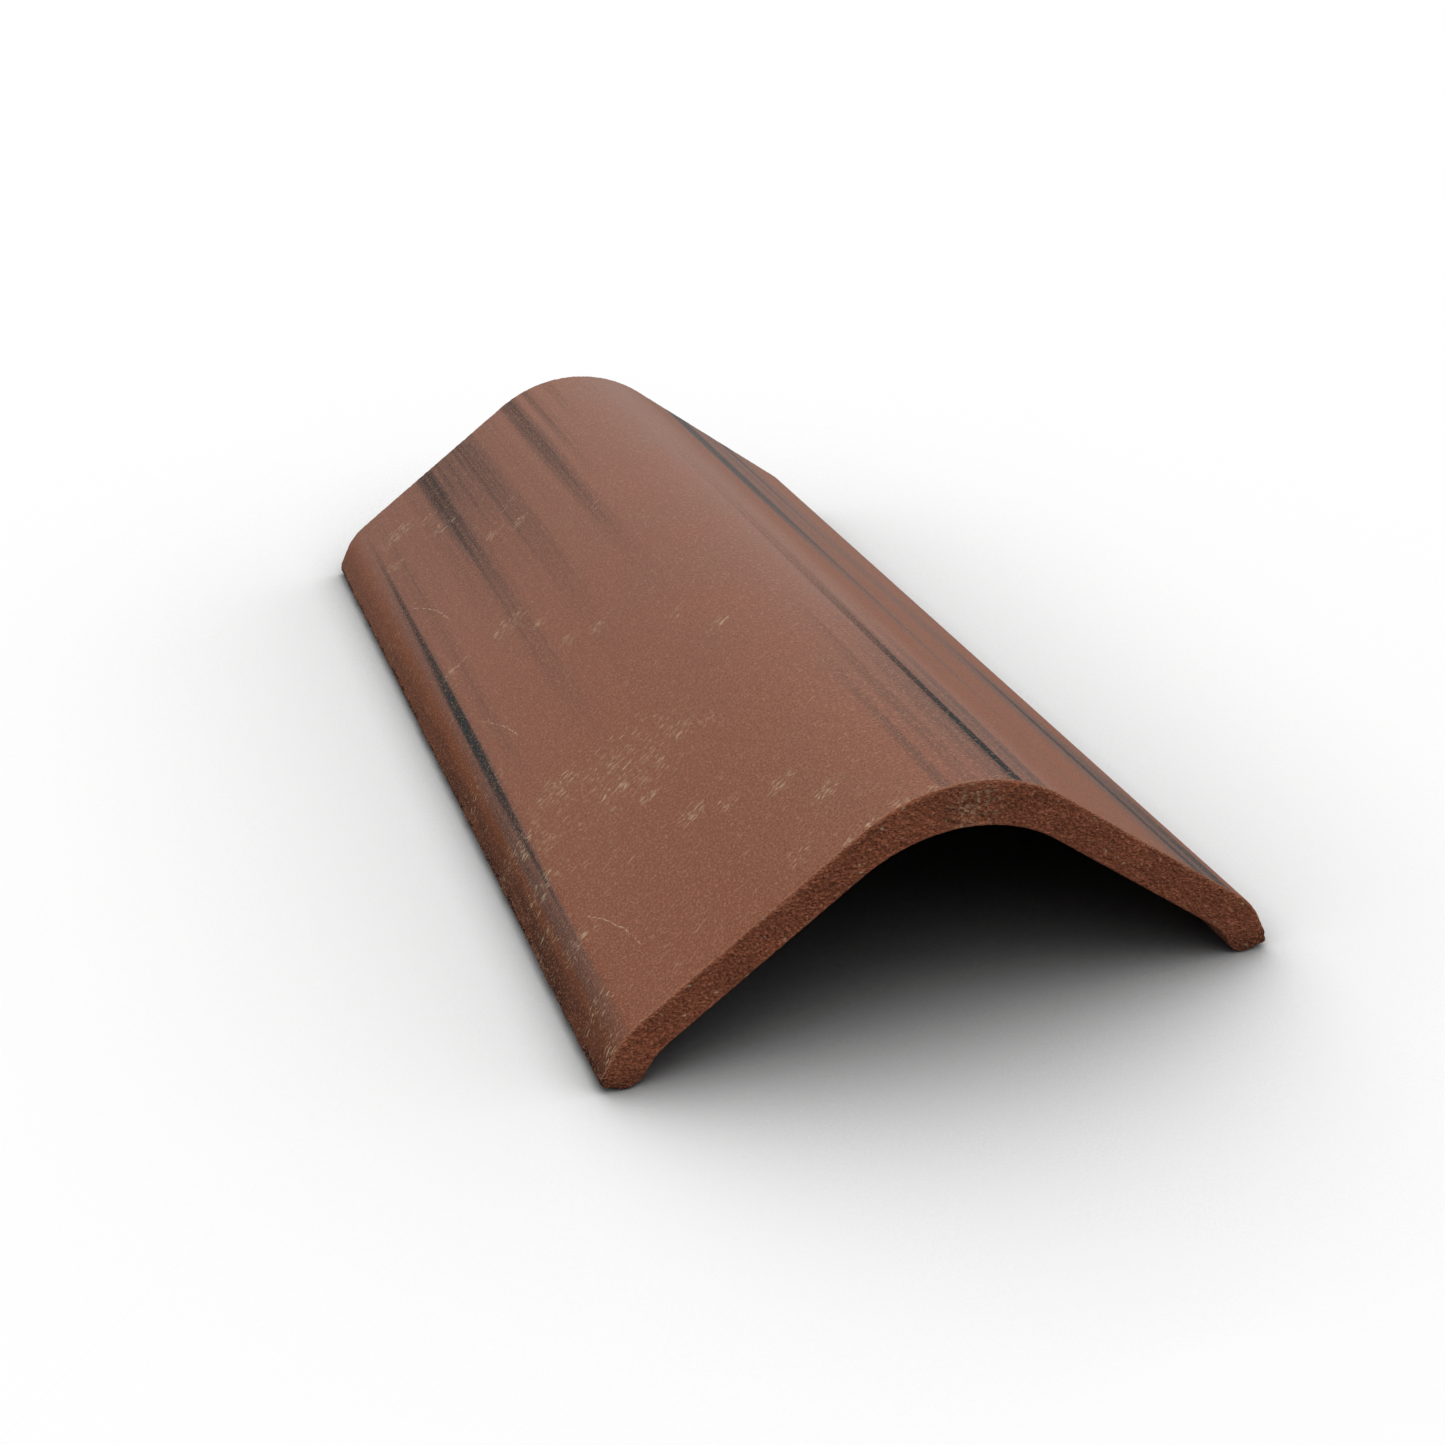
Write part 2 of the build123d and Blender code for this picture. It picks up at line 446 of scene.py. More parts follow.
class Outline:
    """The rounded section as a closed line that starts at the middle of the left toe.

    A place on it is the length travelled from there, over the top first.
    """

    def __init__(self, corners):
        points = []
        middles = []
        for i, (corner, radius) in enumerate(corners):
            back = unit(corners[i - 1][0] - corner)
            ahead = unit(corners[(i + 1) % len(corners)][0] - corner)
            half = math.acos(float(np.dot(back, ahead))) / 2
            centre = corner + unit(back + ahead) * radius / math.sin(half)
            first = corner + back * radius / math.tan(half) - centre
            last = corner + ahead * radius / math.tan(half) - centre
            turn = math.pi - 2 * half
            middles.append(len(points) + ARC_STEPS // 2)
            for step in range(ARC_STEPS + 1):
                part = step / ARC_STEPS
                blend = math.sin((1 - part) * turn) * first + math.sin(part * turn) * last
                points.append(centre + blend / math.sin(turn))
        start = middles[0]
        points = np.array(points[start:] + points[: start + 1])
        steps = np.diff(points, axis=0)
        lengths = np.hypot(steps[:, 0], steps[:, 1])
        self.points = points
        self.places = np.concatenate([[0.0], np.cumsum(lengths)])
        normals = np.stack([-steps[:, 1], steps[:, 0]], axis=1) / lengths[:, None]
        mean = normals + np.roll(normals, 1, axis=0)
        mean = np.concatenate([mean, mean[:1]])
        self.normals = mean / np.linalg.norm(mean, axis=1)[:, None]
        self.length = self.places[-1]
        self.right_toe = self.places[middles[RIGHT_TOE] - start]
        self.right_heel = self.places[middles[RIGHT_HEEL] - start]
        self.soffit_middle = self.places[middles[INNER_CROWN] - start]
        self.left_heel = self.places[middles[LEFT_HEEL] - start]
        self.crown = self.right_toe / 2

    def point(self, place):
        """(x, z) at each place."""
        return np.stack([np.interp(place, self.places, self.points[:, k]) for k in (0, 1)], -1)

    def normal(self, place):
        """Outward direction (x, z) at each place."""
        got = np.stack([np.interp(place, self.places, self.normals[:, k]) for k in (0, 1)], -1)
        return got / np.linalg.norm(got, axis=-1)[..., None]

    def around(self, place):
        """Signed length across from the crown, unbroken except under the crown."""
        wrapped = np.where(place > self.soffit_middle, place - self.length, place)
        return wrapped - self.crown

    def above_toe(self, place):
        """Length up the flange from the nearer toe, below zero under the foot."""
        from_left = np.where(place > self.soffit_middle, place - self.length, place)
        return np.minimum(from_left, self.right_toe - from_left)

    def lifted(self, place, y, inset=0.0):
        """Points (x, y, z) at each place, at y along the tile and some inset below the surface."""
        flat = self.point(place) - self.normal(place) * np.reshape(inset, (-1, 1))
        return np.stack([flat[:, 0], np.broadcast_to(y, place.shape), flat[:, 1]], -1)


outline = Outline(section_corners())


def spread(start, stop, step):
    """Evenly spaced places from start up to, but not at, stop."""
    count = max(1, round((stop - start) / step))
    return list(np.linspace(start, stop, count, endpoint=False))


def body_places():
    """Places of the lengthwise lines of the mesh: close at the toes, wider on the wings."""
    left, right, end = 0.0, outline.right_toe, outline.length
    runs = (
        (left, left + TOE_ZONE, TOE_STEP),
        (left + TOE_ZONE, left + FOOT_ZONE, FOOT_STEP),
        (left + FOOT_ZONE, right - FOOT_ZONE, WING_STEP),
        (right - FOOT_ZONE, right - TOE_ZONE, FOOT_STEP),
        (right - TOE_ZONE, right + UNDER_ZONE, TOE_STEP),
        (right + UNDER_ZONE, outline.right_heel + HEEL_ZONE, FOOT_STEP),
        (outline.right_heel + HEEL_ZONE, outline.left_heel - HEEL_ZONE, SOFFIT_STEP),
        (outline.left_heel - HEEL_ZONE, end - UNDER_ZONE, FOOT_STEP),
        (end - UNDER_ZONE, end, TOE_STEP),
    )
    return np.array([place for run in runs for place in spread(*run)])


def end_places(steps):
    """Places of the close-set points round a cut end, side by side, and the counts of its grid."""
    along = round(outline.right_toe / steps[0])
    across = round((outline.right_heel - outline.right_toe) / steps[1])
    sides = (
        (0.0, outline.right_toe, along),
        (outline.right_toe, outline.right_heel, across),
        (outline.right_heel, outline.left_heel, along),
        (outline.left_heel, outline.length, across),
    )
    places = [np.linspace(a, b, count, endpoint=False) for a, b, count in sides]
    return np.concatenate(places), along, across


def noise_at(points, size, seed):
    """Smooth noise from about -1 to 1 at each point, for features of a size given along each axis."""
    shift = Vector([seed * step for step in SEED_SHIFT])
    size = np.broadcast_to(np.asarray(size, float), (3,))
    return np.array([noise.noise(Vector(p) + shift) for p in np.asarray(points) / size])


def gouged(points, gouges):
    """How deep the gouges are at each point of an end."""
    depth = np.zeros(len(points))
    for gouge in gouges:
        tilt = math.radians(gouge.tilt)
        x = points[:, 0] / MM - gouge.x
        z = points[:, 2] / MM - gouge.z
        along = (x * math.cos(tilt) + z * math.sin(tilt)) / gouge.half_x
        across = (z * math.cos(tilt) - x * math.sin(tilt)) / gouge.half_z
        depth += gouge.depth * MM * np.exp(-(along**2) - across**2)
    return depth


def end_relief(points, end):
    """How far a torn end stands out at each point: wrinkles, grains, a slow swell and gouges."""
    size = end.coarse * np.array(WRINKLE_SIZE)
    warp = noise_at(points, WRINKLE_WARP_COARSE * size, end.seed) * WRINKLE_WARP
    bent = points + np.stack([warp, np.zeros_like(warp), warp], -1)
    # Folding the noise about zero leaves rounded lumps with sharp creases between them
    lumps = np.abs(noise_at(bent, size, end.seed + 1)) - FOLDED_NOISE_MEAN
    grains = noise_at(points, end.coarse * GRAIN_SIZE, end.seed + 2)
    swell = noise_at(points, SWELL_SIZE, end.seed + 3)
    relief = WRINKLE_HEIGHT * lumps + GRAIN_HEIGHT * grains + SWELL_HEIGHT * swell
    return relief - gouged(bent, end.gouges)


def torn_width(points):
    """How far up the flange the broken toe edge reaches at each point."""
    share = np.full(len(points), TORN_BASE)
    for wave in TORN_WAVES:
        share += wave.weight * noise_at(points * wave.stretch, wave.size, wave.seed)
    return np.clip(TORN_WIDTH * share, TORN_LEAST, TOE_ZONE - TORN_MARGIN)


def toe_state(place, points):
    """How far the broken toe edges are cut away at each point, and how much skin is left there."""
    above = outline.above_toe(place)
    chips = np.zeros(len(place))
    skin = (above > 0).astype(float)
    edge = (above < TOE_ZONE) & (above > -UNDER_ZONE)
    if edge.any():
        left_over = above[edge] - torn_width(points[edge])
        cut = np.clip(0.5 - left_over / TOE_CHIP_LIP, 0, 1)
        under = np.clip(1 + above[edge] / UNDER_ZONE, 0, 1)
        uneven = noise_at(points[edge], TOE_CHIP_SIZE, TOE_CHIP_SEED)
        rough = TOE_CHIP_BASE + TOE_CHIP_VARIES * uneven
        chips[edge] = TOE_CHIP * rough * cut * under
        skin[edge] = np.clip(0.5 + left_over / TORN_FADE, 0, 1)
    return chips, skin


class TileMesh:
    """Collects the tile's points, their surface values and its faces."""

    def __init__(self):
        self.points, self.around, self.skin, self.faces = [], [], [], []
        self.count = 0

    def add(self, points, around, skin):
        """Adds points and returns their numbers."""
        self.points.append(points)
        self.around.append(np.broadcast_to(around, len(points)))
        self.skin.append(np.broadcast_to(skin, len(points)))
        numbers = np.arange(self.count, self.count + len(points))
        self.count += len(points)
        return numbers

    def bridge(self, loop_a, loop_b):
        """Quads between two closed loops of as many points."""
        for i in range(len(loop_a)):
            self.faces.append((loop_a[i - 1], loop_a[i], loop_b[i], loop_b[i - 1]))

    def weave(self, line_a, line_b, rows):
        """Faces between two lengthwise lines, of which one may have several points to a row."""
        step_a, step_b = (len(line_a) - 1) // rows, (len(line_b) - 1) // rows
        for row in range(rows):
            a = line_a[row * step_a : (row + 1) * step_a + 1]
            b = line_b[row * step_b : (row + 1) * step_b + 1]
            if step_a == step_b:
                self.faces += [(a[i], a[i + 1], b[i + 1], b[i]) for i in range(step_a)]
            else:
                self.faces.append((*a, *b[::-1]))

    def stitch(self, fine, fine_places, coarse, coarse_places):
        """Triangles between two closed loops with different numbers of points."""
        i = j = 0
        while i < len(fine) or j < len(coarse):
            next_fine = fine_places[i + 1] if i + 1 < len(fine) else outline.length
            next_coarse = coarse_places[j + 1] if j + 1 < len(coarse) else outline.length
            a, b = fine[i % len(fine)], coarse[j % len(coarse)]
            if j >= len(coarse) or (i < len(fine) and next_fine <= next_coarse):
                i += 1
                self.faces.append((a, fine[i % len(fine)], b))
            else:
                j += 1
                self.faces.append((a, coarse[j % len(coarse)], b))


def add_body(mesh):
    """The long faces between the two ends. Returns the first and last loops and their places."""
    places = body_places()
    start, stop = NEAR_END + SEAM_DEPTH, FAR_END - SEAM_DEPTH
    rows = round((stop - start) / (TOE_ROW_STEP * TOE_ROWS_PER_ROW))
    toe_rows = np.linspace(start, stop, rows * TOE_ROWS_PER_ROW + 1)
    lines = []
    for place in places:
        above = outline.above_toe(place)
        at_toe = -ZONE_INSIDE * UNDER_ZONE < above < ZONE_INSIDE * TOE_ZONE
        y = toe_rows if at_toe else toe_rows[::TOE_ROWS_PER_ROW]
        here = np.full(len(y), place)
        chips, skin = toe_state(here, outline.lifted(here, y))
        lines.append(mesh.add(outline.lifted(here, y, chips), outline.around(here), skin))
    for before, after in zip(lines, lines[1:] + lines[:1]):
        mesh.weave(before, after, rows)
    return [line[0] for line in lines], [line[-1] for line in lines], places


def add_end(mesh, end, body_loop, places_of_body):
    """A cut end: a close grid with torn relief, its worn arris, and the seam to the long faces."""
    places, along, across = end_places(end.steps)
    flat = outline.lifted(places, end.y)
    coarse, fine = ARRIS_CHIP_SIZES
    wear = ARRIS_CHIP * np.clip(noise_at(flat, coarse, end.seed + 6) + ARRIS_CHIP_BIAS, 0, 1)
    wear += ARRIS_CHIP * np.clip(noise_at(flat, fine, end.seed + 7), 0, 1)
    chips, toe_skin = toe_state(places, flat)
    relief = RIM_RELIEF * end_relief(flat, end)
    # The lower arris is worn less than the upper one
    under = (places > outline.right_heel) & (places < outline.left_heel)
    wear[under] *= SOFFIT_WEAR
    relief[under] *= SOFFIT_WEAR
    loops = []
    for loop in ARRIS_LOOPS:
        depths = ARRIS_RADIUS * loop.depth + loop.torn * (wear - relief)
        insets = ARRIS_RADIUS * loop.inset + loop.torn * wear + chips
        points = outline.lifted(places, end.y, insets)
        points[:, 1] += end.inward * depths
        loops.append(mesh.add(points, outline.around(places), loop.skin * toe_skin))
    for outer, inner in zip(loops, loops[1:]):
        mesh.bridge(outer, inner)
    mesh.stitch(loops[-1], places, body_loop, places_of_body)
    fill_end(mesh, loops[0], along, across, end)


def fill_end(mesh, rim, along, across, end):
    """Fills a rim of points with a grid that blends its four sides."""
    everything = np.concatenate(mesh.points)
    corners = np.cumsum([0, along, across, along])
    top = rim[corners[0] : corners[1] + 1]
    right = rim[corners[1] : corners[2] + 1]
    bottom = rim[corners[2] : corners[3] + 1][::-1]
    left = np.append(rim[corners[3] :], rim[0])[::-1]
    u = np.linspace(0, 1, along + 1)[None, :, None]
    v = np.linspace(0, 1, across + 1)[:, None, None]
    sides = (1 - v) * everything[top][None] + v * everything[bottom][None]
    sides = sides + (1 - u) * everything[left][:, None] + u * everything[right][:, None]
    t, b = everything[top], everything[bottom]
    corner_blend = (1 - v) * ((1 - u) * t[0] + u * t[-1]) + v * ((1 - u) * b[0] + u * b[-1])
    grid = sides - corner_blend
    numbers = np.zeros((across + 1, along + 1), int)
    numbers[0], numbers[-1], numbers[:, 0], numbers[:, -1] = top, bottom, left, right
    inner = grid[1:-1, 1:-1].reshape(-1, 3)
    inner[:, 1] = end.y
    # The relief is lower next to the rim, which keeps the cut's edges straight
    from_side = np.minimum(np.arange(1, across), np.arange(across - 1, 0, -1))
    fade = np.clip(RIM_RELIEF + (1 - RIM_RELIEF) * (from_side - 1) / RIM_ROWS, 0, 1)
    inner[:, 1] -= end.inward * np.repeat(fade, along - 1) * end_relief(inner, end)
    numbers[1:-1, 1:-1] = mesh.add(inner, inner[:, 0], 0.0).reshape(across - 1, along - 1)
    for j in range(across):
        for i in range(along):
            mesh.faces.append(
                (numbers[j, i], numbers[j, i + 1], numbers[j + 1, i + 1], numbers[j + 1, i])
            )


def make_tile():
    """The whole tile as one closed mesh, with the values that its material reads."""
    mesh = TileMesh()
    *body_loops, places = add_body(mesh)
    for end, loop in zip(ENDS, body_loops):
        add_end(mesh, end, loop, places)
    data = bpy.data.meshes.new("ridge_tile_visual")
    faces = [[int(number) for number in face] for face in mesh.faces]
    data.from_pydata(np.concatenate(mesh.points).tolist(), [], faces)
    for name, values in (("around", mesh.around), ("skin", mesh.skin)):
        attribute = data.attributes.new(name, "FLOAT", "POINT")
        attribute.data.foreach_set("value", np.concatenate(values).astype(np.float32))
    shape = bmesh.new()
    shape.from_mesh(data)
    bmesh.ops.recalc_face_normals(shape, faces=shape.faces)
    shape.to_mesh(data)
    shape.free()
    data.shade_smooth()
    tile = bpy.data.objects.new("ridge_tile_visual", data)
    bpy.context.scene.collection.objects.link(tile)
    return tile


class Nodes:
    """Short calls for writing a node tree."""

    def __init__(self, tree):
        self.tree = tree
        self.tree.nodes.clear()

    def add(self, kind, inputs=(), **settings):
        """A node with its settings and inputs, which are numbers, colours or sockets."""
        node = self.tree.nodes.new(kind)
        for name, value in settings.items():
            setattr(node, name, value)
        for name, value in dict(inputs).items():
            self.put(node.inputs[name], value)
        return node

    def put(self, socket, value):
        if isinstance(value, bpy.types.NodeSocket):
            self.tree.links.new(value, socket)
        else:
            socket.default_value = value

    def math(self, operation, a, b=0.0, clamp=False):
        node = self.add("ShaderNodeMath", {0: a, 1: b}, operation=operation, use_clamp=clamp)
        return node.outputs[0]

    def ramp(self, value, low, high, to_low=0.0, to_high=1.0):
        """Smooth change from to_low to to_high as the value goes from low to high."""
        inputs = {"Value": value, "From Min": low, "From Max": high}
        inputs |= {"To Min": to_low, "To Max": to_high}
        return self.add("ShaderNodeMapRange", inputs, interpolation_type="SMOOTHSTEP").outputs[0]

    def noise(self, vector, scale, detail=2.0, rough=0.5):
        """Noise from 0 to 1 at the given number of features a metre."""
        inputs = {"Vector": vector, "Scale": scale, "Detail": detail, "Roughness": rough}
        return self.add("ShaderNodeTexNoise", inputs).outputs[0]

    def stretched(self, vector, factors):
        inputs = {0: vector, 1: factors}
        return self.add("ShaderNodeVectorMath", inputs, operation="MULTIPLY").outputs[0]

    def scaled(self, vector, factor):
        inputs = {0: vector, "Scale": factor}
        return self.add("ShaderNodeVectorMath", inputs, operation="SCALE").outputs[0]

    def distance(self, vector, point):
        inputs = {0: vector, 1: point}
        return self.add("ShaderNodeVectorMath", inputs, operation="DISTANCE").outputs["Value"]

    def turned(self, vector, angle, centre=(0.0, 0.0, 0.0)):
        inputs = {"Vector": vector, "Angle": angle, "Center": centre}
        return self.add("ShaderNodeVectorRotate", inputs, rotation_type="Z_AXIS").outputs[0]

    def blend(self, factor, a, b):
        """A number between a and b."""
        return self.add("ShaderNodeMix", {"Factor": factor, 2: a, 3: b}, data_type="FLOAT").outputs[0]

    def mix(self, factor, a, b):
        """A colour between a and b."""
        node = self.add("ShaderNodeMix", data_type="RGBA")
        self.put(node.inputs["Factor"], factor)
        self.put(node.inputs[6], a if isinstance(a, bpy.types.NodeSocket) else (*a, 1.0))
        self.put(node.inputs[7], b if isinstance(b, bpy.types.NodeSocket) else (*b, 1.0))
        return node.outputs[2]


def streak_group():
    """A node group that gives how strongly one streak colours a place on the upper face."""
    group = bpy.data.node_groups.new("streak", "ShaderNodeTree")
    names = "Around Along Centre Half Soft Near Far Fade Strength Lean"
    for name in names.split():
        group.interface.new_socket(name, in_out="INPUT", socket_type="NodeSocketFloat")
    group.interface.new_socket("Factor", in_out="OUTPUT", socket_type="NodeSocketFloat")
    n = Nodes(group)
    given = n.add("NodeGroupInput").outputs
    wander = n.math("MULTIPLY", given["Along"], given["Lean"])
    offset = n.math("SUBTRACT", n.math("SUBTRACT", given["Around"], given["Centre"]), wander)
    share = n.math("DIVIDE", n.math("ABSOLUTE", offset), given["Half"])
    inner = n.math("SUBTRACT", 1.0, given["Soft"])
    outer = n.math("ADD", 1.0, given["Soft"])
    across = n.ramp(share, inner, outer, 1.0, 0.0)
    rise = n.ramp(n.math("SUBTRACT", given["Along"], given["Near"]), 0.0, given["Fade"])
    fall = n.ramp(n.math("SUBTRACT", given["Far"], given["Along"]), 0.0, given["Fade"])
    level = n.math("MULTIPLY", n.math("MULTIPLY", rise, fall), given["Strength"])
    out = n.add("NodeGroupOutput")
    n.put(out.inputs["Factor"], n.math("MULTIPLY", across, level))
    return group


def streaks(n, around, along):
    """All the streaks together, as the share of the face's colour that they take over."""
    group = streak_group()
    clear = 1.0
    for streak in STREAKS:
        lean = streak.lean * MM / LENGTH
        values = {
            "Around": around,
            "Along": along,
            "Centre": streak.around * MM - lean * LENGTH / 2,
            "Half": streak.half * MM,
            "Soft": streak.soft,
            "Near": streak.near * MM,
            "Far": streak.far * MM,
            "Fade": streak.fade * MM,
            "Strength": streak.strength,
            "Lean": lean,
        }
        node = n.add("ShaderNodeGroup", node_tree=group)
        for name, value in values.items():
            n.put(node.inputs[name], value)
        clear = n.math("MULTIPLY", clear, n.math("SUBTRACT", 1.0, node.outputs[0]))
    return n.math("SUBTRACT", 1.0, clear)


def scuffed_share(n, face):
    """Share of the face that is scuffed at each place: a few marks all over, and the clusters."""
    share = n.ramp(n.noise(face, *STRAYS), *STRAY_SHARE)
    stretch = (1.0, CLUSTER_STRETCH, 1.0)
    plane = n.stretched(n.turned(face, -CLUSTER_TURN), stretch)
    cos, sin = math.cos(CLUSTER_TURN), math.sin(CLUSTER_TURN)
    for cluster in CLUSTERS:
        x, y = cluster.around * MM, cluster.along * MM
        middle = (x * cos + y * sin, CLUSTER_STRETCH * (y * cos - x * sin), 0.0)
        reach = CLUSTER_SPREAD * cluster.reach * MM
        near = n.ramp(n.distance(plane, middle), 0.0, reach, cluster.share, 0.0)
        share = n.math("MAXIMUM", share, near)
    return share


def wavered(n, face, amount, waves):
    """The face's coordinates, shifted about by an amount at so many waves a metre."""
    noise_node = n.add("ShaderNodeTexNoise", {"Vector": face, "Scale": waves})
    shift = n.scaled(noise_node.outputs["Color"], amount)
    return n.add("ShaderNodeVectorMath", {0: face, 1: shift}, operation="ADD").outputs[0]


def scuffs(n, face):
    """How strongly short pale scuffs show at each place."""
    share = scuffed_share(n, face)
    bent = wavered(n, face, STROKE_WAVER, STROKE_WAVES)
    marks = 0.0
    for i, stroke in enumerate(STROKES):
        centre = (*(i * shift for shift in STROKE_LAYER_SHIFT), 0.0)
        lined_up = n.turned(bent, -stroke.turn, centre)
        place = n.stretched(lined_up, (1 / stroke.length, 1 / stroke.width, 1.0))
        inputs = {"Vector": place, "Scale": 1.0}
        cells = n.add("ShaderNodeTexVoronoi", inputs, voronoi_dimensions="2D").outputs
        draw = n.add("ShaderNodeSeparateColor", {0: cells["Color"]}).outputs
        reach = n.ramp(draw["Green"], *STROKE_REACH)
        mark = n.ramp(n.math("DIVIDE", cells["Distance"], reach), *STROKE_SIDES)
        chance = n.math("ADD", draw["Red"], n.math("MULTIPLY", share, stroke.chance))
        level = n.ramp(draw["Blue"], *STROKE_LEVEL)
        level = n.math("MULTIPLY", n.ramp(chance, *STROKE_DRAWN), level)
        marks = n.math("MAXIMUM", marks, n.math("MULTIPLY", mark, level))
    return n.math("MAXIMUM", marks, n.math("MULTIPLY", share, HAZE))


def scratches(n, face):
    """How strongly the long curved scratches show at each place."""
    lines = 0.0
    bent = wavered(n, face, SCRATCH_WAVER, SCRATCH_WAVES)
    for scratch in SCRATCHES:
        start, end = np.array(scratch.start) * MM, np.array(scratch.end) * MM
        bulge = scratch.bulge * MM
        half_chord = np.linalg.norm(end - start) / 2
        ahead = (end - start) / (2 * half_chord)
        side = np.array([-ahead[1], ahead[0]]) * math.copysign(1.0, bulge)
        radius = (half_chord**2 + bulge**2) / (2 * abs(bulge))
        top = (start + end) / 2 + side * abs(bulge)
        centre = top - side * radius
        off = n.math("SUBTRACT", n.distance(bent, (*centre, 0.0)), radius)
        line = n.ramp(n.math("ABSOLUTE", off), *SCRATCH_SIDES)
        fade = SCRATCH_FADE_SHARE * half_chord
        reach = n.ramp(n.distance(face, (*top, 0.0)), fade, half_chord, 1.0, 0.0)
        lines = n.math("MAXIMUM", lines, n.math("MULTIPLY", line, reach))
    return n.math("MULTIPLY", lines, n.ramp(n.noise(face, *SCRATCH_GAPS), *SCRATCH_LEVEL))


def skin_colour(n, face, around, along, grain):
    """Colour of the smooth upper face: patches, streaks, dirt and painted shade, grain with painted
    glints, and scuffs.
    """
    patches = n.ramp(n.noise(face, *PATCHES), *PATCH_SHARE)
    colour = n.mix(patches, WARM_SKIN, OLIVE_SKIN)
    colour = n.mix(n.ramp(around, *LEFT_WING), colour, LEFT_SKIN_AND_SHADE)
    # Painted glints: the grain's pale flecks stand in for sparkle in the sheen
    colour = n.mix(n.ramp(grain, *GRAIN_GLINTS), colour, SCUFF_AND_GLINT_PALE)

    lines = n.noise(n.stretched(face, STREAK_LINE_STRETCH), *STREAK_LINES)
    fray = n.math("MULTIPLY", n.math("SUBTRACT", lines, 0.5), STREAK_FRAY)
    dark = streaks(n, n.math("ADD", around, fray), along)
    dark = n.math("POWER", dark, n.ramp(lines, *STREAK_POWER))
    # Thin pigment lies in specks, thick pigment covers the grain
    speckle = n.ramp(grain, *STREAK_SPECKLE)
    thin = n.math("MULTIPLY", n.math("SUBTRACT", 1.0, dark), speckle)
    dark = n.math("MULTIPLY", dark, n.math("ADD", 1.0, thin), clamp=True)
    pigment = n.mix(n.ramp(dark, *STREAK_DEEPENS), STREAK_THIN, STREAK_DARK)
    colour = n.mix(dark, colour, pigment)

    out = n.math("ABSOLUTE", around)
    thins = n.ramp(along, *FLANGE_FADE)
    smears = n.ramp(n.noise(n.stretched(face, SMEAR_STRETCH), *SMEARS), *SMEAR_SHARE)
    # Dirt and painted shade darken the flanges, most near the toes
    flange_dirt_and_shade = n.math("MULTIPLY", n.ramp(out, *FLANGE_DIRT_AND_SHADE_SHARE), smears, clamp=True)
    colour = n.mix(n.math("MULTIPLY", flange_dirt_and_shade, thins), colour, FLANGE_DIRT_AND_SHADE)

    colour = n.scaled(colour, n.ramp(grain, *GRAIN_SHADE))
    colour = n.scaled(colour, n.ramp(n.noise(face, *DARK_SPECKS), *DARK_SPECK_SHADE))
    pale = n.math("MAXIMUM", scuffs(n, face), scratches(n, face))
    # Dirt dulls the flanges. Pigment dulls the face, except on the right wing, rough already
    matt = n.math("MULTIPLY", n.ramp(out, *DULL_FLANGE), thins)
    dulled = n.math("MULTIPLY", dark, n.ramp(around, *NOT_RIGHT_WING))
    dull = n.math("MAXIMUM", n.math("MAXIMUM", dulled, matt), pale)
    return n.mix(pale, colour, SCUFF_AND_GLINT_PALE), dull


def body_colour(n, place, around):
    """Colour of the torn body: painted shade in the ripples' hollows, painted highlight on their
    crests, a few pale specks, and painted shadow towards the floor.
    """
    ripples = n.noise(n.stretched(place, RIPPLE_STRETCH), *RIPPLES)
    # Painted shade and highlight: the body is darker where the ripples sink and lighter where they
    # rise
    colour = n.mix(n.ramp(ripples, *RIPPLE_LIGHTING), BODY_SHADED_HOLLOWS, BODY_LIT_CRESTS)
    colour = n.scaled(colour, n.ramp(n.noise(place, *MOTTLE), *MOTTLE_SHADE))
    cells = n.add("ShaderNodeTexVoronoi", {"Vector": place, "Scale": SPECK_CELLS}).outputs
    draw = n.add("ShaderNodeSeparateColor", {0: cells["Color"]}).outputs
    chance = n.ramp(n.distance(place, SPECK_MIDDLE), *SPECK_CHANCE)
    chosen = n.ramp(n.math("ADD", draw["Red"], chance), *SPECK_DRAWN)
    speck = n.math("MULTIPLY", chosen, n.ramp(cells["Distance"], *SPECK_SIDES))
    colour = n.mix(speck, colour, SPECK_PALE)
    crust = n.ramp(n.noise(place, *CRUST), *CRUST_SHARE)
    broken = n.ramp(n.distance(place, CRUST_MIDDLE), *CRUST_REACH)
    colour = n.mix(n.math("MULTIPLY", crust, broken), colour, SPECK_PALE)
    # Painted shadow: the feet are darker towards the floor
    up = n.add("ShaderNodeSeparateXYZ", {0: place}).outputs["Z"]
    colour = n.scaled(colour, n.ramp(up, *FOOT_CONTACT_SHADOW))
    out = n.math("ABSOLUTE", around)
    # Grime and painted shade: the broken toes darken in the ripples' hollows
    toe = n.math("MULTIPLY", n.ramp(out, *TOE_DARK_START), n.ramp(out, *TOE_DARK_END))
    toe_dirt_and_shade = n.math("MULTIPLY", toe, n.ramp(ripples, *TOE_DARK_IN_HOLLOWS))
    return n.mix(toe_dirt_and_shade, colour, TOE_DIRT_AND_SHADE), ripples


